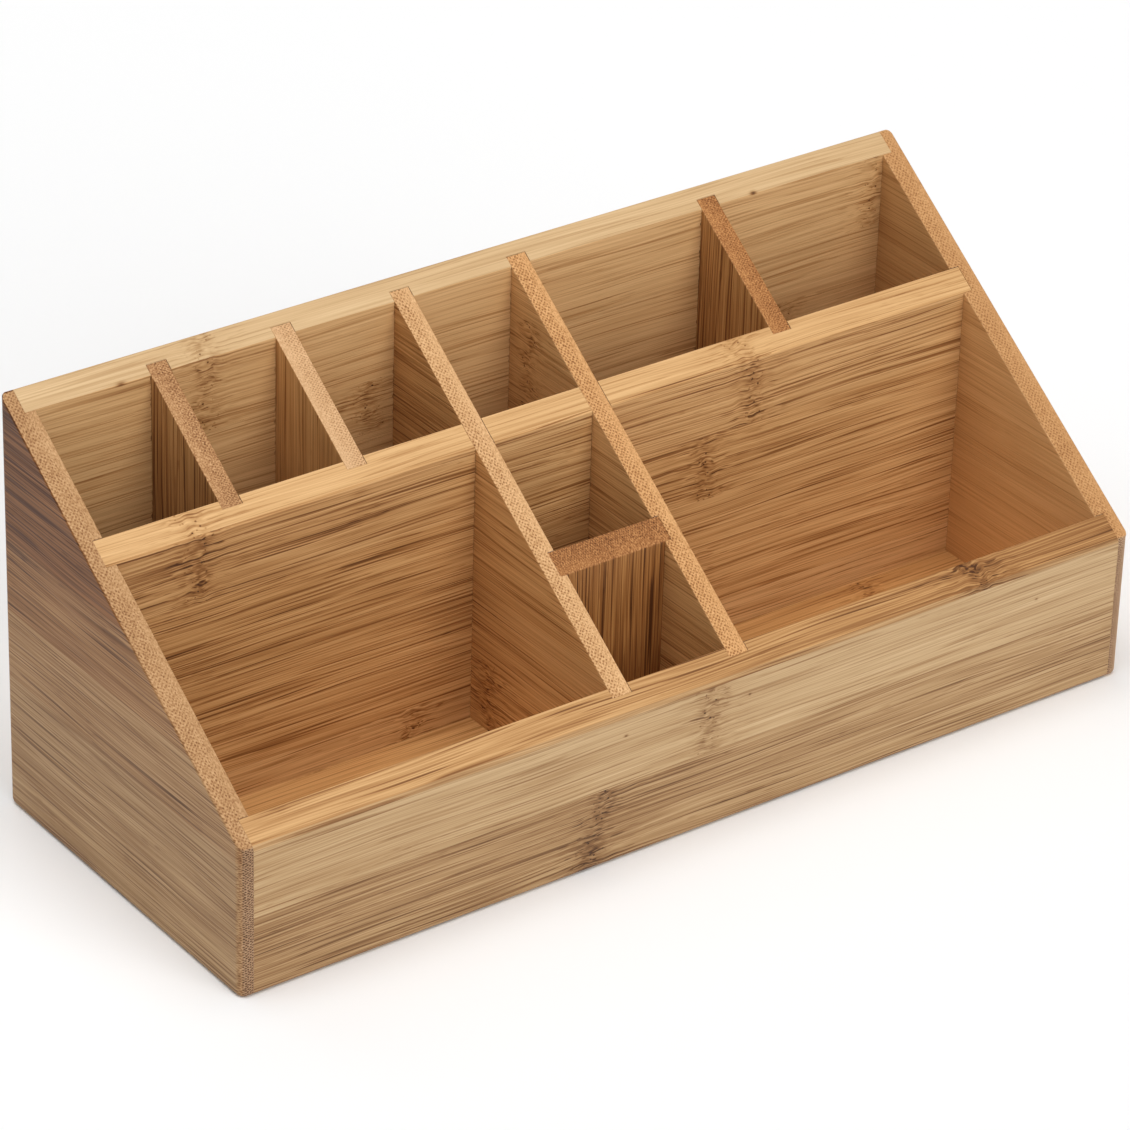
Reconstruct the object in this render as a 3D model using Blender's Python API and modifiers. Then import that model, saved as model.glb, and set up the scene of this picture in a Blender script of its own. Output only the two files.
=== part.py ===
"""Desk organizer: a slant-topped bamboo tray of twelve glued boards that make ten open compartments.

Frame: metres, +Z up, +Y to the back and +X to the right of someone who faces the front.
The origin is on the surface that the organizer stands on, under the centre of its footprint.
The four walls carry a raised bottom panel in a groove, the front and back panels sit in rabbets
in the sides, and every divider is housed in dadoes. The long dividers cross the middle panel in
half-laps. The sawn tops of all the upright boards lie in one slanted plane.
"""

import math

import bmesh
import bpy

# Overall size
WIDTH = 0.330
DEPTH = 0.128
BACK_HEIGHT = 0.140
FRONT_HEIGHT = 0.050

# Board thicknesses
SIDE_STOCK = 0.008
FRONT_STOCK = 0.008
BACK_STOCK = 0.0075
MIDDLE_STOCK = 0.0075
DIVIDER_STOCK = 0.007
BOTTOM_STOCK = 0.006

# Places of the inner boards: centre lines across the width, and distances from the front face
SHORT_DIVIDER_X = (-0.1142, -0.0706, 0.0881)
LONG_DIVIDER_X = {"left": -0.0279, "right": 0.0153}
MIDDLE_FROM_FRONT = 0.0770
CROSS_FROM_FRONT = 0.0388
BOTTOM_RAISE = 0.0045

# Joints
SIDE_HOUSING = 0.0035
BACK_DADO = 0.0030
FRONT_DADO = 0.0028
MIDDLE_DADO = 0.0025
CROSS_DADO = 0.0024
BOTTOM_GROOVE = 0.0030
GAP = 0.0003

# Eased outer edges
UPRIGHT_RADIUS = 0.0030
BOTTOM_RADIUS = 0.0020
BACK_TOP_RADIUS = 0.0018
FRONT_TOP_RADIUS = 0.0023
SLANT_RADIUS = 0.0008
RADIUS_SEGMENTS = 4
# Eased tops of the inner boards, which are only broken with sandpaper
ARRIS = 0.0003

# Worked out from the above
LEFT, RIGHT = -WIDTH / 2, WIDTH / 2
FRONT, BACK = -DEPTH / 2, DEPTH / 2
INNER_LEFT, INNER_RIGHT = LEFT + SIDE_STOCK, RIGHT - SIDE_STOCK
INNER_FRONT, INNER_BACK = FRONT + FRONT_STOCK, BACK - BACK_STOCK
MIDDLE_FRONT = FRONT + MIDDLE_FROM_FRONT
MIDDLE_BACK = MIDDLE_FRONT + MIDDLE_STOCK
FLOOR = BOTTOM_RAISE + BOTTOM_STOCK
STAND = FLOOR + GAP
SLOPE = (BACK_HEIGHT - FRONT_HEIGHT) / DEPTH
# A cutter runs this far past the face that it opens
CLEAR = 0.010

# Colour of each board's bamboo, and how rough its satin lacquer leaves it
COLOURS = {
    "left_side": (0.40, 0.25, 0.13),
    "right_side": (0.42, 0.25, 0.12),
    "back_panel": (0.45, 0.27, 0.13),
    "front_panel": (0.46, 0.30, 0.16),
    "middle_panel": (0.46, 0.26, 0.11),
    "bottom_panel": (0.47, 0.24, 0.09),
    "long_divider_left": (0.42, 0.24, 0.11),
    "long_divider_right": (0.43, 0.24, 0.10),
    "short_divider_1": (0.33, 0.18, 0.09),
    "short_divider_2": (0.38, 0.22, 0.10),
    "short_divider_3": (0.33, 0.17, 0.07),
    "cross_divider": (0.31, 0.16, 0.07),
}
ROUGHNESS = 0.5


def slant(y):
    """Height of the slanted plane that trims every upright board."""
    return FRONT_HEIGHT + SLOPE * (y - FRONT)


LAP = (FLOOR + slant((MIDDLE_FRONT + MIDDLE_BACK) / 2)) / 2


def clear_scene():
    for item in list(bpy.data.objects):
        bpy.data.objects.remove(item, do_unlink=True)


def new_collection(name):
    made = bpy.data.collections.new(name)
    bpy.context.scene.collection.children.link(made)
    return made


def bamboo(board):
    """Gives a board a material of its own."""
    made = bpy.data.materials.new(board.name + "_bamboo")
    made.use_nodes = True
    shader = made.node_tree.nodes["Principled BSDF"]
    shader.inputs["Base Color"].default_value = (*COLOURS[board.name], 1.0)
    shader.inputs["Roughness"].default_value = ROUGHNESS
    shader.inputs["Metallic"].default_value = 0.0
    board.data.materials.append(made)


def block(name, collection, x, y, z, slanted=False):
    """A box between the given limits. A slanted one has its top face in the slanted plane."""
    bm = bmesh.new()
    bmesh.ops.create_cube(bm, size=1.0)
    for vert in bm.verts:
        at_top = vert.co.z > 0
        vert.co.x = x[1] if vert.co.x > 0 else x[0]
        vert.co.y = y[1] if vert.co.y > 0 else y[0]
        vert.co.z = z[1] if at_top else z[0]
        if at_top and slanted:
            vert.co.z = slant(vert.co.y)
    mesh = bpy.data.meshes.new(name)
    centre = [(low + high) / 2 for low, high in (x, y, z)]
    bmesh.ops.translate(bm, verts=bm.verts, vec=[-c for c in centre])
    bm.to_mesh(mesh)
    bm.free()
    made = bpy.data.objects.new(name, mesh)
    made.location = centre
    collection.objects.link(made)
    return made


def ease(board, radius_of):
    """Rounds edges. radius_of takes an edge's middle and direction and gives its radius, or 0."""
    mesh = board.data
    radii = []
    for edge in mesh.edges:
        start, end = (mesh.vertices[i].co + board.location for i in edge.vertices)
        radii.append(radius_of((start + end) / 2, (end - start).normalized()))
    largest = max(radii)
    weights = mesh.attributes.new("bevel_weight_edge", "FLOAT", "EDGE")
    for index, radius in enumerate(radii):
        weights.data[index].value = radius / largest
    bevel = board.modifiers.new("Eased edges", "BEVEL")
    bevel.limit_method = "WEIGHT"
    bevel.offset_type = "OFFSET"
    bevel.width = largest
    bevel.segments = 1 if largest <= ARRIS else RADIUS_SEGMENTS
    bevel.use_clamp_overlap = True


def cut(board, name, x, y, z):
    """Takes a box out of a board."""
    cutter = block(board.name + "_" + name, CUTTERS, x, y, z)
    cutter.hide_render = True
    cutter.display_type = "WIRE"
    boolean = board.modifiers.new(name, "BOOLEAN")
    boolean.operation = "DIFFERENCE"
    boolean.solver = "EXACT"
    boolean.object = cutter


def housing(centre):
    """Limits across the width of the housing for a divider."""
    half = DIVIDER_STOCK / 2 + GAP
    return (centre - half, centre + half)


def fillet_offset(radius, between):
    """Width that Bevel needs to round, to this radius, an edge whose face normals are this far apart."""
    return radius * math.tan(between / 2)


def near(value, target):
    return abs(value - target) < 1e-5


def wall_radius(middle, along):
    """Radii of the outer edges of the front and back panels."""
    if abs(along.x) < 0.9:
        return 0.0
    slope_angle = math.atan(SLOPE)
    if near(middle.y, FRONT) and middle.z > FRONT_HEIGHT / 2:
        return fillet_offset(FRONT_TOP_RADIUS, math.pi / 2 - slope_angle)
    if near(middle.y, BACK) and middle.z > BACK_HEIGHT / 2:
        return fillet_offset(BACK_TOP_RADIUS, math.pi / 2 + slope_angle)
    if near(middle.z, 0) and (near(middle.y, FRONT) or near(middle.y, BACK)):
        return BOTTOM_RADIUS
    return ARRIS


def side_radius(middle, along):
    """Radii of the edges of a side board, whose outer face is the one far from x = 0."""
    outer = near(abs(middle.x), WIDTH / 2)
    if abs(along.x) > 0.9:
        return wall_radius(middle, along)
    if not outer:
        return ARRIS
    if abs(along.z) > 0.9:
        return UPRIGHT_RADIUS
    return SLANT_RADIUS if abs(along.z) > 0.1 else BOTTOM_RADIUS


def top_arris(middle, along):
    """Radius of the edges round the slanted top of an inner board."""
    return ARRIS if near(middle.z, slant(middle.y)) else 0.0


def make_side(name, outer, inner):
    """A side: rabbets for the front and back panels, a dado for the middle one, a bottom groove."""
    inward = 1 if inner > outer else -1
    board = block(name, PARTS, sorted((outer, inner)), (FRONT, BACK), (0, BACK_HEIGHT), True)
    ease(board, side_radius)
    depth = sorted((inner - inward * SIDE_HOUSING, inner + inward * CLEAR))
    full = (-CLEAR, BACK_HEIGHT + CLEAR)
    cut(board, "front_rabbet", depth, (FRONT - CLEAR, INNER_FRONT + GAP), full)
    cut(board, "back_rabbet", depth, (INNER_BACK - GAP, BACK + CLEAR), full)
    cut(board, "middle_dado", depth, (MIDDLE_FRONT - GAP, MIDDLE_BACK + GAP), (FLOOR, full[1]))
    cut(board, "bottom_groove", depth, (FRONT, BACK), (BOTTOM_RAISE - GAP, FLOOR + GAP))
    return board


def make_end_panel(name, outer, inner, dado_depth, dado_centres):
    """The front or back panel, between the sides, with a dado for each divider that meets it."""
    inward = 1 if inner > outer else -1
    reach = (INNER_LEFT - SIDE_HOUSING + GAP, INNER_RIGHT + SIDE_HOUSING - GAP)
    board = block(name, PARTS, reach, sorted((outer, inner)), (0, BACK_HEIGHT), True)
    ease(board, wall_radius)
    groove = sorted((inner - inward * BOTTOM_GROOVE, inner + inward * CLEAR))
    cut(board, "bottom_groove", (LEFT, RIGHT), groove, (BOTTOM_RAISE - GAP, FLOOR + GAP))
    depth = sorted((inner - inward * dado_depth, inner + inward * CLEAR))
    for number, centre in enumerate(sorted(dado_centres), 1):
        cut(board, f"dado_{number}", housing(centre), depth, (FLOOR, BACK_HEIGHT + CLEAR))
    return board


def make_middle_panel():
    """The middle panel: notched from above for the long dividers, and dadoed at the back."""
    reach = (INNER_LEFT - SIDE_HOUSING + GAP, INNER_RIGHT + SIDE_HOUSING - GAP)
    board = block("middle_panel", PARTS, reach, (MIDDLE_FRONT, MIDDLE_BACK), (STAND, BACK_HEIGHT), True)
    ease(board, top_arris)
    top = BACK_HEIGHT + CLEAR
    for side, centre in LONG_DIVIDER_X.items():
        across = (MIDDLE_FRONT - CLEAR, MIDDLE_BACK + CLEAR)
        cut(board, side + "_half_lap", housing(centre), across, (LAP, top))
    for number, centre in enumerate(SHORT_DIVIDER_X, 1):
        depth = (MIDDLE_BACK - MIDDLE_DADO, MIDDLE_BACK + CLEAR)
        cut(board, f"dado_{number}", housing(centre), depth, (0, top))
    return board


def make_bottom_panel():
    """The floor of every compartment, held in the grooves of the four walls."""
    x = (INNER_LEFT - SIDE_HOUSING + GAP, INNER_RIGHT + SIDE_HOUSING - GAP)
    y = (INNER_FRONT - BOTTOM_GROOVE + GAP, INNER_BACK + BOTTOM_GROOVE - GAP)
    return block("bottom_panel", PARTS, x, y, (BOTTOM_RAISE, FLOOR))


def make_long_divider(side, centre):
    """A divider from front to back, notched from below where it crosses the middle panel."""
    x = (centre - DIVIDER_STOCK / 2, centre + DIVIDER_STOCK / 2)
    y = (INNER_FRONT - FRONT_DADO + GAP, INNER_BACK + BACK_DADO - GAP)
    board = block("long_divider_" + side, PARTS, x, y, (STAND, BACK_HEIGHT), True)
    ease(board, top_arris)
    past = (x[0] - CLEAR, x[1] + CLEAR)
    cut(board, "half_lap", past, (MIDDLE_FRONT - GAP, MIDDLE_BACK + GAP), (0, LAP + GAP))
    # The cross divider meets the face that looks towards the other long divider.
    inner = x[1] if side == "left" else x[0]
    inward = 1 if side == "left" else -1
    depth = sorted((inner - inward * CROSS_DADO, inner + inward * CLEAR))
    start = FRONT + CROSS_FROM_FRONT
    cut(board, "cross_dado", depth, (start - GAP, start + DIVIDER_STOCK + GAP), (0, BACK_HEIGHT))
    return board


def make_short_divider(number, centre):
    """A divider from the middle panel to the back panel."""
    x = (centre - DIVIDER_STOCK / 2, centre + DIVIDER_STOCK / 2)
    y = (MIDDLE_BACK - MIDDLE_DADO + GAP, INNER_BACK + BACK_DADO - GAP)
    board = block(f"short_divider_{number}", PARTS, x, y, (STAND, BACK_HEIGHT), True)
    ease(board, top_arris)
    return board


def make_cross_divider():
    """The divider across the narrow bay between the two long dividers."""
    reach = DIVIDER_STOCK / 2 - CROSS_DADO + GAP
    x = (LONG_DIVIDER_X["left"] + reach, LONG_DIVIDER_X["right"] - reach)
    start = FRONT + CROSS_FROM_FRONT
    board = block("cross_divider", PARTS, x, (start, start + DIVIDER_STOCK), (STAND, BACK_HEIGHT), True)
    ease(board, top_arris)
    return board


clear_scene()
PARTS = new_collection("desk_organizer")
CUTTERS = new_collection("joint_cutters")

every_divider = (*SHORT_DIVIDER_X, *LONG_DIVIDER_X.values())
boards = [
    make_side("left_side", LEFT, INNER_LEFT),
    make_side("right_side", RIGHT, INNER_RIGHT),
    make_end_panel("back_panel", BACK, INNER_BACK, BACK_DADO, every_divider),
    make_end_panel("front_panel", FRONT, INNER_FRONT, FRONT_DADO, LONG_DIVIDER_X.values()),
    make_middle_panel(),
    make_bottom_panel(),
    *(make_long_divider(side, centre) for side, centre in LONG_DIVIDER_X.items()),
    *(make_short_divider(number, centre) for number, centre in enumerate(SHORT_DIVIDER_X, 1)),
    make_cross_divider(),
]
for each in boards:
    bamboo(each)
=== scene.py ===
import math
import random
from collections import namedtuple

import bmesh
import bpy
from mathutils import Matrix, Vector


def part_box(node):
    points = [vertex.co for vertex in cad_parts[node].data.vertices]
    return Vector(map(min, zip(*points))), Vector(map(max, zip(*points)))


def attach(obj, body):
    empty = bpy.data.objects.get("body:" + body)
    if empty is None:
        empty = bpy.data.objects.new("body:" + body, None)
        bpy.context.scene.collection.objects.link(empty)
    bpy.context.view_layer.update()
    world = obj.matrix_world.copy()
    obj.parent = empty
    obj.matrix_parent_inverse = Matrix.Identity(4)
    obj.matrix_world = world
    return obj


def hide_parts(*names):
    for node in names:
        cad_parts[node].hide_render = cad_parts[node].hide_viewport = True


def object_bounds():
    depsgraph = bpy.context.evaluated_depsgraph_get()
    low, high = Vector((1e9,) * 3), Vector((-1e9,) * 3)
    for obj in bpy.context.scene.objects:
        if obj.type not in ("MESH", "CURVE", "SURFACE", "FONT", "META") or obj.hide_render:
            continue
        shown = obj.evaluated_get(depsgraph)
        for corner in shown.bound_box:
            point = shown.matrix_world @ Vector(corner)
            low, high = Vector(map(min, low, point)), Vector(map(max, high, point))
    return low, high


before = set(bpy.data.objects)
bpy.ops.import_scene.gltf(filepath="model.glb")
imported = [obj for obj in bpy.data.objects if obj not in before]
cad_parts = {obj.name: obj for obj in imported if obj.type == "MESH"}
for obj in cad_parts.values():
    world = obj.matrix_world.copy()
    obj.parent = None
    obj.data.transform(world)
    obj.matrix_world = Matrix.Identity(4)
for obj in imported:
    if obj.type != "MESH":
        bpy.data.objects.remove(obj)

CAD_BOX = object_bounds()

# Design sizes that the boxes of the frame don't give, in metres
FRONT_HEIGHT = 0.050
BACK_HEIGHT = 0.140
FRONT = -0.064
BACK = 0.064
SLOPE = (BACK_HEIGHT - FRONT_HEIGHT) / (BACK - FRONT)
# The CAD boards keep this gap to each other. The finished boards keep only a thin seam, which is
# wider to the left of a long divider where it laps the middle panel.
CAD_GAP = 0.0003
SEAM = 0.00004
LAP_SEAM = 0.00009
GROW = CAD_GAP - SEAM
# A cutter runs this far past the face that it opens
CLEAR = 0.010

# Eased edges
UPRIGHT_RADIUS = 0.0030
BOTTOM_RADIUS = 0.0020
BACK_TOP_RADIUS = 0.0010
FRONT_TOP_RADIUS = 0.0023
SLANT_RADIUS = 0.0008
ARRIS = 0.0003
RADIUS_SEGMENTS = 8
# Edges that turn more than this stay crisp
SHARP_ANGLE = math.radians(50)

SIDES = ("left_side", "right_side")
END_PANELS = ("front_panel", "back_panel")
LONG_DIVIDERS = ("long_divider_left", "long_divider_right")
SHORT_DIVIDERS = ("short_divider_1", "short_divider_2", "short_divider_3")
SLOTS = {
    "outer_bamboo": (*SIDES, *END_PANELS),
    "panel_bamboo": ("middle_panel",),
    "floor_bamboo": ("bottom_panel",),
    "divider_bamboo": LONG_DIVIDERS,
    "upright_bamboo": (*SHORT_DIVIDERS, "cross_divider"),
}

MM = 0.001
# Points closer than this are at the same place
TOLERANCE = 1e-5


# ---------------------------------------------------------------- camera, floor and light

# A long lens that looks from the front left and above, with a slight roll. The two directions are
# those to the camera's right and straight back from what it looks at.
CAMERA_RIGHT = (0.80980, -0.58607, 0.02714)
CAMERA_BACK = (-0.51916, -0.69427, 0.49846)
CAMERA_AIM = (-0.0064, 0.0002, 0.0626)
CAMERA_DISTANCE = 1.667
SENSOR_MM = 36.0
LENS_MM = 175.5

FLOOR_REACH = 12.0
SUN_SPREAD = 50


def place_camera():
    right = Vector(CAMERA_RIGHT).normalized()
    back = Vector(CAMERA_BACK)
    back = (back - right * back.dot(right)).normalized()
    up = back.cross(right)
    data = bpy.data.cameras.new("camera")
    data.sensor_width = SENSOR_MM
    data.lens = LENS_MM
    data.clip_start = 0.05
    data.clip_end = 50.0
    camera = bpy.data.objects.new("camera", data)
    bpy.context.scene.collection.objects.link(camera)
    turn = Matrix((right, up, back)).transposed()
    place = Vector(CAMERA_AIM) + back * CAMERA_DISTANCE
    camera.matrix_world = Matrix.Translation(place) @ turn.to_4x4()
    bpy.context.scene.camera = camera


def lay_floor():
    """A sheet of pale matt paper, far wider than what the camera sees."""
    bm = bmesh.new()
    bmesh.ops.create_grid(bm, x_segments=1, y_segments=1, size=FLOOR_REACH)
    mesh = bpy.data.meshes.new("floor")
    bm.to_mesh(mesh)
    bm.free()
    floor = bpy.data.objects.new("floor", mesh)
    bpy.context.scene.collection.objects.link(floor)
    paper = bpy.data.materials.new("studio_paper")
    paper.use_nodes = True
    shader = paper.node_tree.nodes["Principled BSDF"]
    shader.inputs["Base Color"].default_value = (0.95, 0.95, 0.95, 1.0)
    shader.inputs["Roughness"].default_value = 0.9
    shader.inputs["Specular IOR Level"].default_value = 0.1
    mesh.materials.append(paper)


def soft_sun(name, azimuth, elevation, strength):
    """Wide distant light. Its angles are in degrees, with azimuth 0 in front and 90 on the right."""
    data = bpy.data.lights.new(name, "SUN")
    data.energy = strength
    data.angle = math.radians(SUN_SPREAD)
    lamp = bpy.data.objects.new(name, data)
    bpy.context.scene.collection.objects.link(lamp)
    turn, rise = math.radians(azimuth), math.radians(elevation)
    level = math.cos(rise)
    towards = Vector((math.sin(turn) * level, -math.cos(turn) * level, math.sin(rise)))
    lamp.rotation_euler = towards.to_track_quat("Z", "Y").to_euler()


def light_studio():
    soft_sun("front", azimuth=5, elevation=30, strength=1.45)
    soft_sun("overhead", azimuth=0, elevation=85, strength=1.42)
    soft_sun("left", azimuth=265, elevation=60, strength=0.90)
    soft_sun("rear", azimuth=180, elevation=45, strength=0.45)
    world = bpy.data.worlds.new("studio")
    world.use_nodes = True
    background = world.node_tree.nodes["Background"]
    background.inputs["Color"].default_value = (1.0, 1.0, 1.0, 1.0)
    background.inputs["Strength"].default_value = 0.03
    bpy.context.scene.world = world
    bpy.context.scene.view_settings.view_transform = "Standard"


# ---------------------------------------------------------------- formulas made of shader nodes

class Signal:
    """A value in a node tree. Arithmetic on it adds the Math nodes that work the result out."""

    def __init__(self, tree, socket):
        self.tree = tree
        self.socket = socket

    def math(self, operation, *others):
        inputs = dict(enumerate((self, *others)))
        return node(self.tree, "ShaderNodeMath", inputs, operation=operation)

    def __add__(self, other):
        return self.math("ADD", other)

    def __sub__(self, other):
        return self.math("SUBTRACT", other)

    def __rsub__(self, other):
        return node(self.tree, "ShaderNodeMath", {0: other, 1: self}, operation="SUBTRACT")

    def __mul__(self, other):
        return self.math("MULTIPLY", other)

    __radd__ = __add__
    __rmul__ = __mul__

    def __abs__(self):
        return self.math("ABSOLUTE")

    def bell(self, width):
        """1 where the signal is 0, falling away smoothly over this width to either side."""
        scaled = self * (1.0 / width)
        return (scaled * scaled * -1.0).math("EXPONENT")

    def rise(self, low, high):
        """0 below low and 1 above high, with a smooth step between."""
        inputs = {"Value": self, "From Min": low, "From Max": high}
        return node(self.tree, "ShaderNodeMapRange", inputs, interpolation_type="SMOOTHSTEP")


def node(tree, kind, inputs, output=0, **settings):
    """Adds a node, sets or links its inputs, and returns one of its outputs as a Signal."""
    made = tree.nodes.new(kind)
    for name, value in settings.items():
        setattr(made, name, value)
    for key, value in inputs.items():
        if isinstance(value, Signal):
            tree.links.new(value.socket, made.inputs[key])
        else:
            made.inputs[key].default_value = value
    return Signal(tree, made.outputs[output])


def mix(first, second, portion):
    return first + (second - first) * portion


def mix_colours(tree, portion, first, second, blend="MIX"):
    """A Mix node for colours, which takes them at its sockets 6 and 7 and gives its result at 2."""
    inputs = {0: portion, 6: first, 7: second}
    return node(tree, "ShaderNodeMix", inputs, 2, data_type="RGBA", blend_type=blend)


def vector_math(tree, operation, first, second):
    return node(tree, "ShaderNodeVectorMath", {0: first, 1: second}, operation=operation)


def separate(tree, vector):
    """The x, y and z of a vector."""
    split = tree.nodes.new("ShaderNodeSeparateXYZ")
    tree.links.new(vector.socket, split.inputs[0])
    return [Signal(tree, output) for output in split.outputs]


def noise(tree, place, sizes, detail=0.0, roughness=0.5, output="Fac"):
    """Noise whose features are about this long, in millimetres, along each axis of the board."""
    scaled = vector_math(tree, "MULTIPLY", place, [1.0 / size for size in sizes])
    inputs = {"Vector": scaled, "Scale": 1.0, "Detail": detail, "Roughness": roughness}
    return node(tree, "ShaderNodeTexNoise", inputs, output)


def cells(tree, place, sizes, jitter, dimensions="3D"):
    """Distance to the middle of the nearest cell, in cell widths."""
    scaled = vector_math(tree, "MULTIPLY", place, [1.0 / size for size in sizes])
    inputs = {"Vector": scaled, "Scale": 1.0, "Randomness": jitter}
    return node(tree, "ShaderNodeTexVoronoi", inputs, "Distance", voronoi_dimensions=dimensions)


def colour_ramp(tree, factor, stops, interpolation="LINEAR"):
    """stops are (position, colour). Returns the colour and the alpha."""
    made = tree.nodes.new("ShaderNodeValToRGB")
    tree.links.new(factor.socket, made.inputs[0])
    ramp = made.color_ramp
    ramp.interpolation = interpolation
    for index, (position, colour) in enumerate(stops):
        if index >= len(ramp.elements):
            ramp.elements.new(position)
        element = ramp.elements[index]
        element.position = position
        element.color = (*colour, 1.0) if len(colour) == 3 else colour
    return Signal(tree, made.outputs["Color"]), Signal(tree, made.outputs["Alpha"])


# ---------------------------------------------------------------- solid bamboo

# From pale flesh to scorched knuckle, as linear colour
BAMBOO_TONES = (
    (0.00, (0.780, 0.511, 0.255)),
    (0.22, (0.660, 0.405, 0.187)),
    (0.45, (0.500, 0.275, 0.110)),
    (0.70, (0.290, 0.130, 0.043)),
    (1.00, (0.085, 0.031, 0.010)),
)
# Tints multiply the colour of the tone
COOL_TINT = (0.958, 1.073, 1.245, 1.0)
WARM_TINT = (1.049, 0.905, 0.706, 1.0)
PLAIN_TINT = (1.0, 1.0, 1.0, 1.0)
CUT_TINT = (1.02, 0.965, 1.02, 1.0)
# The next tint cools end grain that doesn't face up, as painted shade
ROUGH_AND_SHADED_TINT = (0.84, 0.87, 0.97, 1.0)
GROUP_INPUTS = {
    "Place": "NodeSocketVector",
    "Depth": "NodeSocketFloat",
    "Tone": "NodeSocketFloat",
    "Warmth": "NodeSocketFloat",
    "Mark": "NodeSocketFloat",
    "Knuckle": "NodeSocketFloat",
    "Second knuckle": "NodeSocketFloat",
    "Curl": "NodeSocketFloat",
    "Seed": "NodeSocketFloat",
    "End cut": "NodeSocketFloat",
    "Rough and shaded end": "NodeSocketFloat",
    "Streaks": "NodeSocketFloat",
    "Dots": "NodeSocketFloat",
}
GROUP_OUTPUTS = {
    "Color": "NodeSocketColor",
    "Roughness": "NodeSocketFloat",
    "Height": "NodeSocketFloat",
}
# In mm along the grain: half width of a knuckle's ring and of the grain that it disturbs, and how
# far the ring waves
RING_WIDTH = 4.2
AROUND_WIDTH = 14.0
RING_WAVE = 7.0
# Fibre bundles per mm, across the board and through it
BUNDLES_ACROSS = 1.18
BUNDLES_THROUGH = 0.73
# Radius of a bundle at the bark side, and how much of it is lost towards the inner side
BUNDLE_SIZE = 0.34
BUNDLE_LOSS = 0.28
# These keep the noise of each strip of cane away from that of the others
SEED_SHIFT_ALONG = 911.0
SEED_SHIFT_ACROSS = 173.0


def knuckle_rings(tree, place, own, given):
    """1 in the ring of the nearest knuckle, and 1 in its neighbourhood."""
    wave = (noise(tree, own, (400.0, 5.0, 5.0)) - 0.5) * RING_WAVE
    waved = separate(tree, place)[0] + wave
    from_first, from_second = abs(waved - given["Knuckle"]), abs(waved - given["Second knuckle"])
    from_ring = from_first.math("MINIMUM", from_second)
    return from_ring.bell(RING_WIDTH), from_ring.bell(AROUND_WIDTH)


def strayed(tree, own, ring, around, curl):
    """A place as the fibres see it, which wander a little and curl round a knuckle."""
    turn = noise(tree, own, (5.0, 5.0, 5.0), output="Color")
    turn = vector_math(tree, "SUBTRACT", turn, (0.5, 0.5, 0.5))
    strength = (ring + around * 0.45) * curl
    swirl = node(tree, "ShaderNodeVectorMath", {0: turn, "Scale": strength}, operation="SCALE")
    wander = noise(tree, own, (55.0, 14.0, 14.0)) - 0.5
    sway = node(tree, "ShaderNodeCombineXYZ", {1: wander * 1.8, 2: wander * 0.8})
    return vector_math(tree, "ADD", vector_math(tree, "ADD", own, sway), swirl)


def scorched_pits(tree, own, curl):
    """1 in the small pits of a knuckle's ring, which wild grain has fewer of."""
    pits = cells(tree, own, (1.5, 1.3, 1.3), 1.0)
    pits = (1.0 - pits.rise(0.16, 0.32)) * noise(tree, own, (2.6, 2.6, 2.6)).rise(0.50, 0.60)
    return pits * (1.0 - curl.rise(2.0, 3.0) * 0.7)


def bundle_ends(tree, fibres, depth):
    """1 in the ends of the fibre bundles, in a diamond pattern.

    Bundles are packed close under the bark, and thin out towards the inner side.
    """
    _, across, through = separate(tree, fibres)
    across, through = across * BUNDLES_ACROSS, through * BUNDLES_THROUGH
    section = node(tree, "ShaderNodeCombineXYZ", {0: across + through, 1: across - through})
    size = BUNDLE_SIZE - depth.rise(0.45, 1.0) * BUNDLE_LOSS
    bundle = cells(tree, section, (1.0, 1.0, 1.0), 0.35, "2D")
    return 1.0 - (bundle - size).rise(-0.14, 0.08)


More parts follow.
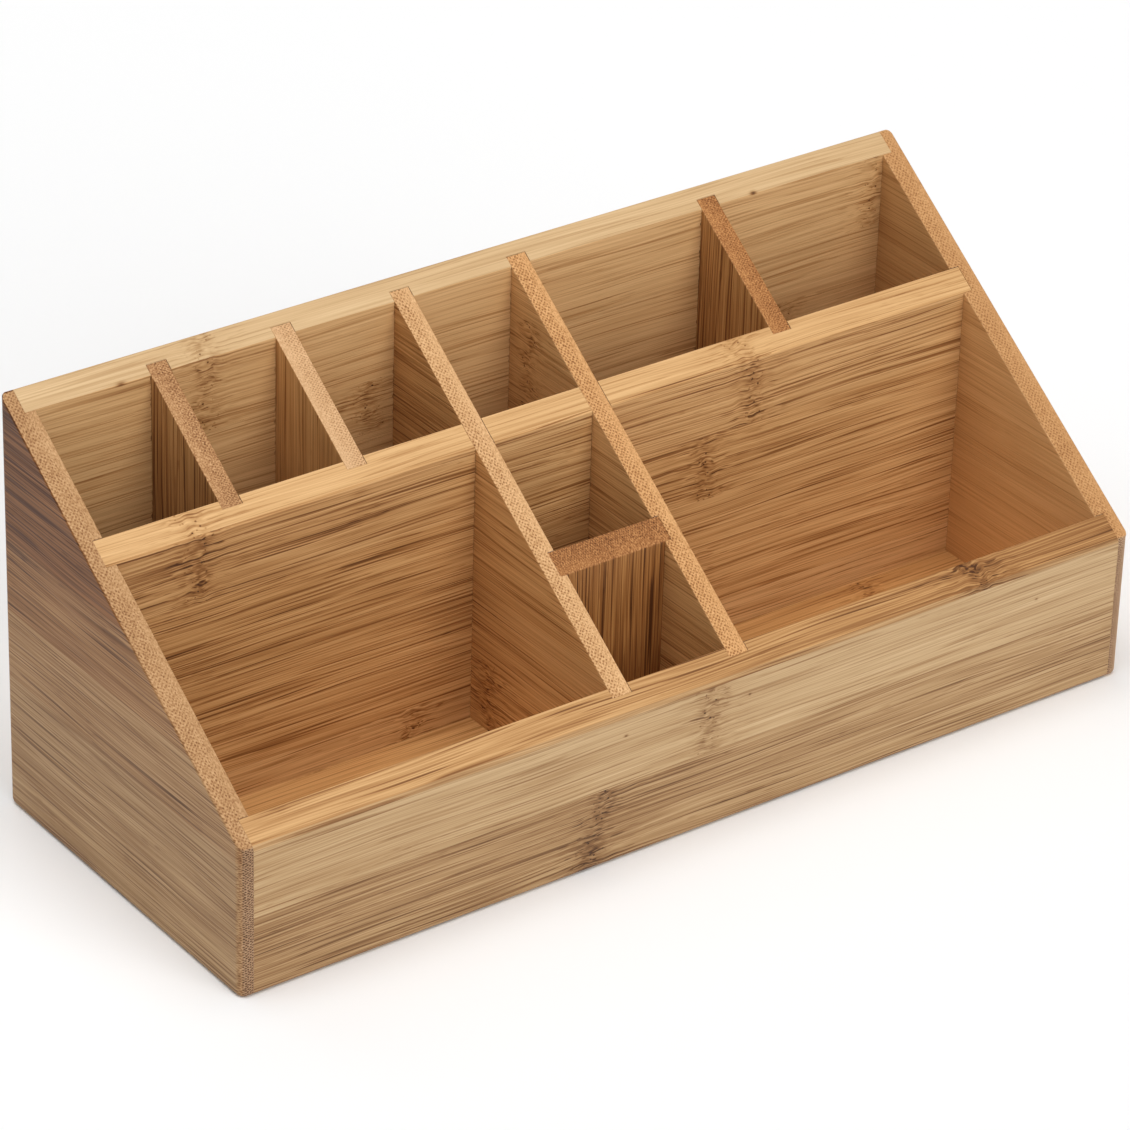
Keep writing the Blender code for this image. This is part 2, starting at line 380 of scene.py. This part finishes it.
def bamboo_group():
    """Bamboo as a solid: fibre bundles that run along x show as streaks on a face and dots on a cut.

    Place is in millimetres: x along the grain, y across the board, z through its thickness.
    Depth goes from 0 at the dense bark side of the board to 1 at the soft inner side.
    The two knuckles are the places along x of the rings where the cane had its joints, and Curl is
    how far the fibres stray there. End cut is 1 on end grain. The end input after it is 1 on end grain
    that doesn't face up, which gets coarser dots and is darkened and cooled as painted shade. Mark
    darkens a blemish.
    """
    tree = bpy.data.node_groups.new("Bamboo", "ShaderNodeTree")
    for name, kind in GROUP_INPUTS.items():
        tree.interface.new_socket(name, in_out="INPUT", socket_type=kind)
    for name, kind in GROUP_OUTPUTS.items():
        tree.interface.new_socket(name, in_out="OUTPUT", socket_type=kind)
    entry = tree.nodes.new("NodeGroupInput")
    given = {name: Signal(tree, entry.outputs[name]) for name in GROUP_INPUTS}
    place, streaks = given["Place"], given["Streaks"]
    end_cut, rough_and_shaded_end = given["End cut"], given["Rough and shaded end"]
    face = 1.0 - end_cut

    # Each strip of cane has its own fibres
    shift = {0: given["Seed"] * SEED_SHIFT_ALONG, 1: given["Seed"] * SEED_SHIFT_ACROSS}
    own = vector_math(tree, "ADD", place, node(tree, "ShaderNodeCombineXYZ", shift))

    ring, around = knuckle_rings(tree, place, own, given)
    fibres = strayed(tree, own, ring, around, given["Curl"])

    # Bands, fibres, long dark lines and short dark dashes, then what scorches a knuckle's ring
    broad = noise(tree, fibres, (130.0, 7.0, 7.0)) - 0.5
    medium = noise(tree, fibres, (80.0, 1.5, 1.5), 1.0, 0.6) - 0.5
    fine = noise(tree, fibres, (36.0, 0.42, 0.42)) - 0.5
    lines = noise(tree, fibres, (58.0, 0.66, 0.66)).rise(0.59, 0.68)
    dashes = noise(tree, fibres, (7.0, 0.55, 0.55)).rise(0.66, 0.76)
    scattered = noise(tree, own, (35.0, 9.0, 9.0)).rise(0.45, 0.70)
    ripple = noise(tree, own, (2.6, 1.2, 1.2), 1.0) - 0.5
    pits = scorched_pits(tree, own, given["Curl"])
    # A face shows a trace of the dots that a cut shows in full
    bundles = bundle_ends(tree, fibres, given["Depth"])
    dots = bundles * given["Dots"] * (end_cut.rise(0.2, 0.5) * 0.9 + 0.10)

    darkness = given["Tone"] + given["Mark"] + broad * 0.12
    darkness = darkness + streaks * (medium * 0.30 * face + fine * 0.54)
    darkness = darkness + streaks * face * (lines * 0.24 + dashes * (around * 0.20 + scattered * 0.12))
    # End grain that doesn't face up gets stronger dots for its coarser cut, and a darker tone as
    # painted shade
    darkness = darkness + dots * (0.36 + rough_and_shaded_end * 0.50) + rough_and_shaded_end * 0.06
    darkness = darkness + ring * (pits * 0.50 + ripple * 0.60 + 0.12) + around * 0.05
    colour, _ = colour_ramp(tree, darkness, BAMBOO_TONES)
    tints = (
        (given["Warmth"], COOL_TINT, WARM_TINT),
        (end_cut, PLAIN_TINT, CUT_TINT),
        (rough_and_shaded_end, PLAIN_TINT, ROUGH_AND_SHADED_TINT))
    for portion, low_tint, high_tint in tints:
        tint = mix_colours(tree, portion, low_tint, high_tint)
        colour = mix_colours(tree, 1.0, colour, tint, "MULTIPLY")

    roughness = 0.46 + fine * 0.25 + dots * 0.10 + end_cut * 0.12
    height = fine * 0.035 - lines * 0.022 * face - dots * 0.030
    height = height - ring * pits * 0.10 + medium * 0.02

    leave = tree.nodes.new("NodeGroupOutput")
    for name, value in {"Color": colour, "Roughness": roughness, "Height": height}.items():
        tree.links.new(value.socket, leave.inputs[name])
    return tree


# Axes of the grain: which of x, y, z lies along, across and through the board
ALONG_X = (0, 2, 1)
ALONG_X_FLAT = (0, 1, 2)
ALONG_Y = (1, 2, 0)
UPRIGHT_X = (2, 0, 1)
UPRIGHT_Y = (2, 1, 0)

Board = namedtuple("Board", "axes bark dots top_tone top_warmth strips")

# bark is the direction that the bark side faces, dots is how strong the dots on cuts are, and the top
# is the slanted one. Each strip of cane starts so many mm across the board. Then come its tone at the
# low and at the high end of the grain, its warmth, how strong its streaks are, the places of its
# knuckles in mm, and for a knuckle with wild grain its curl.
BOARDS = {
    "front_panel": Board(ALONG_X, bark=1, dots=0.35, top_tone=0.30, top_warmth=0.50, strips=(
        (0.0, 0.53, 0.44, 0.00, 1.00, (-42,)),
        (12.8, 0.57, 0.47, 0.02, 0.95, (-38,)),
        (26.5, 0.38, 0.29, 0.00, 0.78, (1,)),
        (48.8, 0.42, 0.50, 0.24, 1.00, (108,)),
        (50.5, 0.34, 0.60, 0.62, 1.20, (106,), 2.8))),
    "back_panel": Board(ALONG_X, bark=1, dots=0.35, top_tone=0.30, top_warmth=0.50, strips=(
        (0.0, 0.25, 0.25, 0.64, 0.90, (60,)),
        (24.0, 0.20, 0.19, 0.64, 0.90, (-60,)),
        (48.0, 0.25, 0.23, 0.60, 0.90, (20,)),
        (70.0, 0.20, 0.17, 0.64, 0.90, (120,)),
        (92.0, 0.27, 0.21, 0.60, 0.90, (-40,)),
        (110.0, 0.24, 0.16, 0.64, 0.90, (-99, 154)),
        (134.6, 0.18, 0.22, 0.14, 0.60, (-97,)))),
    "middle_panel": Board(ALONG_X, bark=1, dots=0.4, top_tone=0.30, top_warmth=0.50, strips=(
        (0.0, 0.24, 0.12, 0.66, 1.30, (-53,)),
        (21.0, 0.38, 0.26, 0.76, 1.30, (51,)),
        (42.0, 0.44, 0.30, 0.76, 1.30, ()),
        (60.0, 0.45, 0.29, 0.76, 1.30, (56,)),
        (82.0, 0.43, 0.27, 0.70, 1.30, (-129, 73)),
        (104.4, 0.13, 0.24, 0.64, 0.85, (-129, 71)))),
    "bottom_panel": Board(ALONG_X_FLAT, bark=1, dots=0.3, top_tone=0.30, top_warmth=0.50, strips=(
        (-61.0, 0.24, 0.38, 0.88, 0.80, (60,)),
        (-36.0, 0.20, 0.34, 0.88, 0.80, (-20,)),
        (-12.0, 0.24, 0.38, 0.92, 0.80, (120,)),
        (12.0, 0.24, 0.38, 0.88, 0.80, (-90,)),
        (38.0, 0.22, 0.35, 0.88, 0.80, (10,)))),
    # The left side's tone rises towards its top and its back: painted shade where less light reaches
    # it
    "left_side": Board(ALONG_Y, bark=-1, dots=0.6, top_tone=0.42, top_warmth=0.32, strips=(
        (0.0, 0.51, 0.54, 0.0, 0.85, ()),
        (22.0, 0.52, 0.55, 0.0, 0.85, ()),
        (45.0, 0.54, 0.59, 0.18, 0.85, ()),
        (68.0, 0.58, 0.69, 0.44, 0.85, ()),
        (92.0, 0.71, 0.82, 0.85, 0.85, ()),
        (115.0, 0.87, 0.90, 0.98, 0.85, ()))),
    "right_side": Board(ALONG_Y, bark=-1, dots=0.6, top_tone=0.38, top_warmth=0.70, strips=(
        (0.0, 0.06, 0.31, 0.82, 0.65, ()),
        (25.0, 0.04, 0.30, 0.82, 0.65, ()),
        (47.0, 0.07, 0.33, 0.80, 0.65, ()),
        (70.0, 0.09, 0.31, 0.76, 0.65, ()),
        (95.0, 0.14, 0.33, 0.76, 0.60, ()),
        (117.0, 0.14, 0.31, 0.76, 0.60, ()))),
    "long_divider_left": Board(ALONG_Y, bark=-1, dots=0.95, top_tone=0.19, top_warmth=0.56, strips=(
        (10.0, 0.20, 0.37, 0.82, 1.20, (4,)),
        (34.0, 0.21, 0.39, 0.80, 1.20, ()),
        (58.0, 0.21, 0.39, 0.86, 1.20, ()),
        (82.0, 0.22, 0.38, 0.86, 1.20, ()),
        (106.0, 0.22, 0.38, 0.86, 1.00, ()))),
    "long_divider_right": Board(ALONG_Y, bark=-1, dots=0.95, top_tone=0.27, top_warmth=0.82, strips=(
        (10.0, 0.29, 0.21, 0.88, 1.00, ()),
        (34.0, 0.29, 0.21, 0.88, 1.00, ()),
        (58.0, 0.29, 0.20, 0.84, 1.00, ()),
        (86.0, 0.29, 0.18, 0.80, 1.00, (46,)),
        (120.0, 0.26, 0.19, 0.80, 1.00, ()))),
    "short_divider_1": Board(UPRIGHT_Y, bark=1, dots=0.6, top_tone=0.48, top_warmth=0.42, strips=(
        (17.0, 0.55, 0.55, 0.72, 1.20, ()),
        (40.0, 0.51, 0.51, 0.72, 1.20, ()))),
    "short_divider_2": Board(UPRIGHT_Y, bark=1, dots=0.8, top_tone=0.20, top_warmth=0.36, strips=(
        (17.0, 0.35, 0.35, 0.88, 0.90, ()),
        (36.0, 0.31, 0.31, 0.88, 0.90, ()))),
    "short_divider_3": Board(UPRIGHT_Y, bark=1, dots=0.5, top_tone=0.56, top_warmth=0.96, strips=(
        (17.0, 0.47, 0.47, 0.88, 1.10, ()),
        (38.0, 0.49, 0.49, 0.88, 1.10, ()))),
    "cross_divider": Board(UPRIGHT_X, bark=1, dots=0.6, top_tone=0.60, top_warmth=0.90, strips=(
        (-26.0, 0.64, 0.64, 1.0, 1.20, ()),
        (-8.0, 0.64, 0.64, 1.0, 1.20, ()))),
}
# Blemishes of the inner side: place along and across, half length, half width and strength
MARKS = {
    "front_panel": (
        (-30, 43, 0.7, 0.4, 0.5),
        (16, 42, 0.5, 0.4, 0.4),
        (128, 39, 0.6, 0.4, 0.4),
        (-42, 7, 4.0, 4.0, 0.16)),
    "middle_panel": ((-73, 102, 3.0, 1.0, 0.16),),
    "back_panel": ((-128, 134.6, 1.6, 0.5, 0.6), (105, 134.8, 1.2, 0.5, 0.7)),
}
# How far fibres stray at a knuckle without wild grain
PLAIN_CURL = 1.5
# A ramp's colours hold 0 to 1. So a place along the grain is kept as its distance over this, plus a
# half, and a curl as a part of the largest.
KNUCKLE_REACH = 1000.0
LARGEST_CURL = 10.0
# A place that no board reaches
NO_KNUCKLE = 400.0
# Steps between the seeds of strips and of boards
STRIP_SEED = 0.618
BOARD_SEED = 0.137


def strips_of_cane(tree, across, start, end, strips, offset):
    """Puts a board's strips into two stepped colour ramps, and returns what each holds.

    The first holds tone, tone at the high end, warmth and seed. The second holds the two knuckles,
    curl and streaks. The board goes from start to end across the grain.
    """
    looks, knuckles = [], []
    for index, (edge, tone, far_tone, warmth, streaks, places, *curl) in enumerate(strips):
        position = max(0.0, (edge - start) / (end - start))
        seed = (offset + index * STRIP_SEED) % 1.0
        looks.append((position, (tone, far_tone, warmth, seed)))
        both = (*places, NO_KNUCKLE, NO_KNUCKLE)[:2]
        rings = [knuckle / KNUCKLE_REACH + 0.5 for knuckle in both]
        curl = curl[0] if curl else PLAIN_CURL
        knuckles.append((position, (*rings, curl / LARGEST_CURL, streaks)))
    factor = (across - start) * (1 / (end - start))
    read = []
    for stops in (looks, knuckles):
        colour, alpha = colour_ramp(tree, factor, stops, "CONSTANT")
        channels = tree.nodes.new("ShaderNodeSeparateColor")
        tree.links.new(colour.socket, channels.inputs[0])
        read.append([Signal(tree, channels.outputs[index]) for index in range(3)] + [alpha])
    return read


def blemish(name, along, across, depth):
    """How much a board's marks darken a place. They show only towards its inner side."""
    mark = 0.0
    for x, y, half_length, half_width, strength in MARKS.get(name, ()):
        mark = (along - x).bell(half_length) * (across - y).bell(half_width) * strength + mark
    return mark * depth.rise(0.4, 0.9)


def link_to_shader(tree, solid):
    """Links the bamboo's colour, roughness and relief to the material's shader."""
    shader = tree.nodes["Principled BSDF"]
    bump = tree.nodes.new("ShaderNodeBump")
    bump.inputs["Distance"].default_value = MM
    tree.links.new(solid.outputs["Height"], bump.inputs["Height"])
    tree.links.new(solid.outputs["Color"], shader.inputs["Base Color"])
    tree.links.new(solid.outputs["Roughness"], shader.inputs["Roughness"])
    tree.links.new(bump.outputs["Normal"], shader.inputs["Normal"])
    shader.inputs["IOR"].default_value = 1.45
    shader.inputs["Specular IOR Level"].default_value = 0.30


def bamboo(name, group, offset):
    """The material of one board. offset keeps its fibres apart from those of the other boards."""
    board = BOARDS[name]
    axes = board.axes
    low, high = (corner * (1 / MM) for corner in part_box(name))
    made = bpy.data.materials.new("bamboo_" + name)
    made.use_nodes = True
    tree = made.node_tree

    metres = node(tree, "ShaderNodeTexCoord", {}, "Object")
    millimetres = separate(tree, vector_math(tree, "MULTIPLY", metres, (1 / MM,) * 3))
    along, across, through = (millimetres[axis] for axis in axes)
    place = node(tree, "ShaderNodeCombineXYZ", {0: along, 1: across, 2: through})
    looks, rings = strips_of_cane(tree, across, low[axes[1]], high[axes[1]], board.strips, offset)
    tone, far_tone, warmth, seed = looks
    knuckle, second_knuckle, curl, streaks = rings
    portion = along.rise(low[axes[0]], high[axes[0]])

    through_low, through_high = low[axes[2]], high[axes[2]]
    if board.bark < 0:
        through_low, through_high = through_high, through_low
    depth = (through_high - through) * (1 / (through_high - through_low))

    normal = separate(tree, node(tree, "ShaderNodeNewGeometry", {}, "Normal"))
    end_cut = abs(normal[axes[0]])
    # 1 on faces that don't face up: their end grain is painted darker, cooler and less warm as shade,
    # and its dots are coarser
    rough_and_shaded = 1.0 - normal[2].rise(0.50, 0.70)
    # A slanted top shows its end grain throughout, an eased corner only near the end
    cut_face = mix(end_cut.rise(0.2, 0.5), end_cut.rise(0.65, 0.90), rough_and_shaded)

    inputs = {
        "Place": place,
        "Depth": depth,
        "Tone": mix(mix(tone, far_tone, portion), board.top_tone, cut_face),
        "Warmth": mix(warmth, board.top_warmth * (1.0 - rough_and_shaded), cut_face),
        "Mark": blemish(name, along, across, depth),
        "Knuckle": (knuckle - 0.5) * KNUCKLE_REACH,
        "Second knuckle": (second_knuckle - 0.5) * KNUCKLE_REACH,
        "Curl": curl * LARGEST_CURL,
        "Seed": seed + offset,
        "End cut": end_cut,
        "Rough and shaded end": cut_face * rough_and_shaded,
        "Streaks": streaks,
        "Dots": board.dots,
    }
    solid = tree.nodes.new("ShaderNodeGroup")
    solid.node_tree = group
    for key, value in inputs.items():
        if isinstance(value, Signal):
            tree.links.new(value.socket, solid.inputs[key])
        else:
            solid.inputs[key].default_value = value
    link_to_shader(tree, solid)
    return made


# ---------------------------------------------------------------- boards

def slant(y):
    """Height of the slanted plane in which the tops of all the upright boards lie."""
    return FRONT_HEIGHT + SLOPE * (y - FRONT)


def limits(name, grown=""):
    """The x, y and z limits of a board, grown towards its neighbours along the given axes."""
    low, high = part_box(name)
    result = []
    for axis, letter in enumerate("xyz"):
        extra = GROW if letter in grown else 0.0
        result.append((low[axis] - extra, high[axis] + extra))
    return result


def block(name, x, y, z, slanted=False):
    """A box between the given limits. A slanted one has its top face in the slanted plane."""
    bm = bmesh.new()
    bmesh.ops.create_cube(bm, size=1.0)
    for vert in bm.verts:
        at_top = vert.co.z > 0
        vert.co.x = x[1] if vert.co.x > 0 else x[0]
        vert.co.y = y[1] if vert.co.y > 0 else y[0]
        vert.co.z = z[1] if at_top else z[0]
        if at_top and slanted:
            vert.co.z = slant(vert.co.y)
    mesh = bpy.data.meshes.new(name)
    bm.to_mesh(mesh)
    bm.free()
    made = bpy.data.objects.new(name, mesh)
    bpy.context.scene.collection.objects.link(made)
    return made


def ease(board, radius_of):
    """Rounds edges. radius_of takes an edge's middle and direction and gives its radius, or 0."""
    mesh = board.data
    radii = []
    for edge in mesh.edges:
        start, end = (mesh.vertices[i].co for i in edge.vertices)
        radii.append(radius_of((start + end) / 2, (end - start).normalized()))
    largest = max(radii)
    weights = mesh.attributes.new("bevel_weight_edge", "FLOAT", "EDGE")
    for index, radius in enumerate(radii):
        weights.data[index].value = radius / largest
    bevel = board.modifiers.new("Eased edges", "BEVEL")
    bevel.limit_method = "WEIGHT"
    bevel.offset_type = "OFFSET"
    bevel.width = largest
    bevel.segments = 2 if largest <= ARRIS else RADIUS_SEGMENTS


def subtract(board, cutter):
    boolean = board.modifiers.new(cutter.name, "BOOLEAN")
    boolean.operation = "DIFFERENCE"
    boolean.solver = "EXACT"
    boolean.object = cutter


def cut(board, x, y, z):
    subtract(board, block("cutter", x, y, z))


def widened(span, low=SEAM, high=SEAM):
    return (span[0] - low, span[1] + high)


# A torn edge: the deepest bite, the step from one ring of its cutter to the next, how many steps a
# bite and the sound edge after it take, how far the cutter stands proud, and how far it reaches
# past the edge and into the wall even where there is no bite
TEAR_BITE = 0.0009
TEAR_STEP = 0.00022
TEAR_SPAN = (3, 9)
TEAR_REST = (0, 14)
TEAR_PROUD = 0.0004
TEAR_BACK = 0.0003
TEAR_LEAST = 0.00001
TEAR_DEPTH = 0.0002
# Small bites are the most common
TEAR_BIAS = 2.2


def torn_edge(board, start, along, length, across, inward, seed):
    """Tears bites out of a saw cut's mouth, along a straight edge, with a swept jagged cutter."""
    random.seed(seed)
    count = int(length / TEAR_STEP)
    sizes = [0.0] * (count + 1)
    position = 0
    while position < count:
        span = random.randint(*TEAR_SPAN)
        size = TEAR_BITE * random.random() ** TEAR_BIAS
        for index in range(min(span, count - position)):
            swell = math.sin(math.pi * (index + 0.5) / span)
            sizes[position + index] = size * swell * random.uniform(0.5, 1.0)
        position += span + random.randint(*TEAR_REST)
    bm = bmesh.new()
    rings = []
    for index, size in enumerate(sizes):
        base = start + along * (index * TEAR_STEP)
        proud = -inward * TEAR_PROUD
        deep = inward * (TEAR_DEPTH + size * 0.7)
        back, far = -across * TEAR_BACK, across * (size + TEAR_LEAST)
        corners = (back + proud, far + proud, far * 0.35 + deep, back + deep)
        rings.append([bm.verts.new(base + corner) for corner in corners])
    for first, second in zip(rings, rings[1:]):
        for corner in range(4):
            after = (corner + 1) % 4
            bm.faces.new((first[corner], first[after], second[after], second[corner]))
    bm.faces.new(rings[0])
    bm.faces.new(reversed(rings[-1]))
    bmesh.ops.recalc_face_normals(bm, faces=bm.faces)
    mesh = bpy.data.meshes.new("tear")
    bm.to_mesh(mesh)
    bm.free()
    cutter = bpy.data.objects.new("tear", mesh)
    bpy.context.scene.collection.objects.link(cutter)
    subtract(board, cutter)


def near(value, target):
    return abs(value - target) < TOLERANCE


def wall_radius(middle, along):
    """Radii of the outer edges of the front and back panels."""
    if abs(along.x) < 0.9:
        return 0.0
    slope_angle = math.atan(SLOPE)
    if near(middle.y, FRONT) and middle.z > FRONT_HEIGHT / 2:
        return FRONT_TOP_RADIUS * math.tan((math.pi / 2 - slope_angle) / 2)
    if near(middle.y, BACK) and middle.z > BACK_HEIGHT / 2:
        return BACK_TOP_RADIUS * math.tan((math.pi / 2 + slope_angle) / 2)
    if near(middle.z, 0) and (near(middle.y, FRONT) or near(middle.y, BACK)):
        return BOTTOM_RADIUS
    return ARRIS


def side_radius(middle, along):
    """Radii of the edges of a side board, whose outer face is the one far from x = 0."""
    if abs(along.x) > 0.9:
        return wall_radius(middle, along)
    if not near(abs(middle.x), CAD_BOX[1][0]):
        return ARRIS
    if abs(along.z) > 0.9:
        return UPRIGHT_RADIUS
    return SLANT_RADIUS if abs(along.z) > 0.1 else BOTTOM_RADIUS


def top_arris(middle, along):
    """Radius of the edges round the slanted top of an inner board."""
    return ARRIS if near(middle.z, slant(middle.y)) else 0.0


def finish(board, name, material):
    """Applies the cuts, smooths the shading, and hands the board over to the frame."""
    cutters = [m.object for m in board.modifiers if m.type == "BOOLEAN"]
    graph = bpy.context.evaluated_depsgraph_get()
    mesh = bpy.data.meshes.new_from_object(board.evaluated_get(graph))
    mesh.name = name + "_board"
    mesh.shade_smooth()
    mesh.set_sharp_from_angle(angle=SHARP_ANGLE)
    mesh.materials.clear()
    mesh.materials.append(material)
    made = bpy.data.objects.new(name + "_board", mesh)
    bpy.context.scene.collection.objects.link(made)
    made.modifiers.new("Shading", "WEIGHTED_NORMAL").keep_sharp = True
    for scrap in (*cutters, board):
        bpy.data.objects.remove(scrap, do_unlink=True)
    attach(made, "root")
    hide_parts(name)
    next(slot for slot, names in SLOTS.items() if name in names)


FRONT_X, FRONT_Y, _ = limits("front_panel", "x")
BACK_X, BACK_Y, _ = limits("back_panel", "x")
MIDDLE_X, MIDDLE_Y, _ = limits("middle_panel", "x")
FLOOR_X, FLOOR_Y, FLOOR_Z = limits("bottom_panel", "xy")
STAND = FLOOR_Z[1] + SEAM
LAP = (FLOOR_Z[1] + slant(sum(MIDDLE_Y) / 2)) / 2
ABOVE = BACK_HEIGHT + CLEAR


def make_side(name):
    """A side: rabbets for the front and back panels, a dado for the middle one, a bottom groove."""
    x, y, _ = limits(name)
    left = x[0] < 0
    board = block(name, x, (FRONT, BACK), (0, BACK_HEIGHT), True)
    ease(board, side_radius)

    def mouth(panel_x):
        """From the end of a panel to past the inner face."""
        return (panel_x[0] - SEAM, x[1] + CLEAR) if left else (x[0] - CLEAR, panel_x[1] + SEAM)

    cut(board, mouth(FRONT_X), (FRONT - CLEAR, FRONT_Y[1] + SEAM), (-CLEAR, ABOVE))
    cut(board, mouth(BACK_X), (BACK_Y[0] - SEAM, BACK + CLEAR), (-CLEAR, ABOVE))
    cut(board, mouth(MIDDLE_X), widened(MIDDLE_Y), (FLOOR_Z[1], ABOVE))
    cut(board, mouth(FLOOR_X), (FRONT, BACK), widened(FLOOR_Z))
    return board


def make_end_panel(name, dividers):
    """The front or back panel, between the sides, with a dado for each divider that meets it."""
    x, y, _ = limits(name, "x")
    front = y[0] < 0
    board = block(name, x, y, (0, BACK_HEIGHT), True)
    ease(board, wall_radius)

    def mouth(end):
        """From the end of a neighbour to past the inner face."""
        return (end - SEAM, y[1] + CLEAR) if front else (y[0] - CLEAR, end + SEAM)

    floor_end = FLOOR_Y[0] if front else FLOOR_Y[1]
    cut(board, widened(x, CLEAR, CLEAR), mouth(floor_end), widened(FLOOR_Z))
    inner = y[1] if front else y[0]
    inward = Vector((0, -1, 0)) if front else Vector((0, 1, 0))
    for number, divider in enumerate(dividers):
        across, deep, _ = limits(divider, "y")
        cut(board, widened(across), mouth(deep[0] if front else deep[1]), (FLOOR_Z[1], ABOVE))
        height = slant(inner) - FLOOR_Z[1]
        for side, edge in ((-1, across[0] - SEAM), (1, across[1] + SEAM)):
            start = Vector((edge, inner, FLOOR_Z[1]))
            away = Vector((side, 0, 0))
            torn_edge(board, start, Vector((0, 0, 1)), height, away, inward, 10 * number + side)
    return board


def make_middle_panel():
    """The middle panel: notched from above for the long dividers, and dadoed at the back."""
    board = block("middle_panel", MIDDLE_X, MIDDLE_Y, (STAND, BACK_HEIGHT), True)
    ease(board, top_arris)
    for name in LONG_DIVIDERS:
        across, _, _ = limits(name)
        cut(board, widened(across, LAP_SEAM), widened(MIDDLE_Y, CLEAR, CLEAR), (LAP, ABOVE))
    for name in SHORT_DIVIDERS:
        across, deep, _ = limits(name, "y")
        cut(board, widened(across), (deep[0] - SEAM, MIDDLE_Y[1] + CLEAR), (0, ABOVE))
    return board


def make_bottom_panel():
    """The floor of every compartment, held in the grooves of the four walls."""
    board = block("bottom_panel", FLOOR_X, FLOOR_Y, FLOOR_Z)
    ease(board, lambda middle, along: ARRIS)
    return board


def make_long_divider(name):
    """A divider from front to back, notched from below where it crosses the middle panel."""
    x, y, _ = limits(name, "y")
    board = block(name, x, y, (STAND, BACK_HEIGHT), True)
    ease(board, top_arris)
    cut(board, widened(x, CLEAR, CLEAR), widened(MIDDLE_Y), (0, LAP + SEAM))
    # The cross divider meets the face that looks towards the other long divider
    ends, deep, _ = limits("cross_divider", "x")
    mouth = (ends[0] - SEAM, x[1] + CLEAR) if x[0] < 0 else (x[0] - CLEAR, ends[1] + SEAM)
    cut(board, mouth, widened(deep), (0, ABOVE))
    return board


def make_upright(name, grown):
    """A divider whose grain stands upright, between two other boards."""
    x, y, _ = limits(name, grown)
    board = block(name, x, y, (STAND, BACK_HEIGHT), True)
    ease(board, top_arris)
    return board


def make_boards():
    made = {name: make_side(name) for name in SIDES}
    made["back_panel"] = make_end_panel("back_panel", (*SHORT_DIVIDERS, *LONG_DIVIDERS))
    made["front_panel"] = make_end_panel("front_panel", LONG_DIVIDERS)
    made["middle_panel"] = make_middle_panel()
    made["bottom_panel"] = make_bottom_panel()
    made.update({name: make_long_divider(name) for name in LONG_DIVIDERS})
    made.update({name: make_upright(name, "y") for name in SHORT_DIVIDERS})
    made["cross_divider"] = make_upright("cross_divider", "x")
    group = bamboo_group()
    for index, (name, board) in enumerate(made.items()):
        finish(board, name, bamboo(name, group, index * BOARD_SEED))


place_camera()
lay_floor()
light_studio()
make_boards()
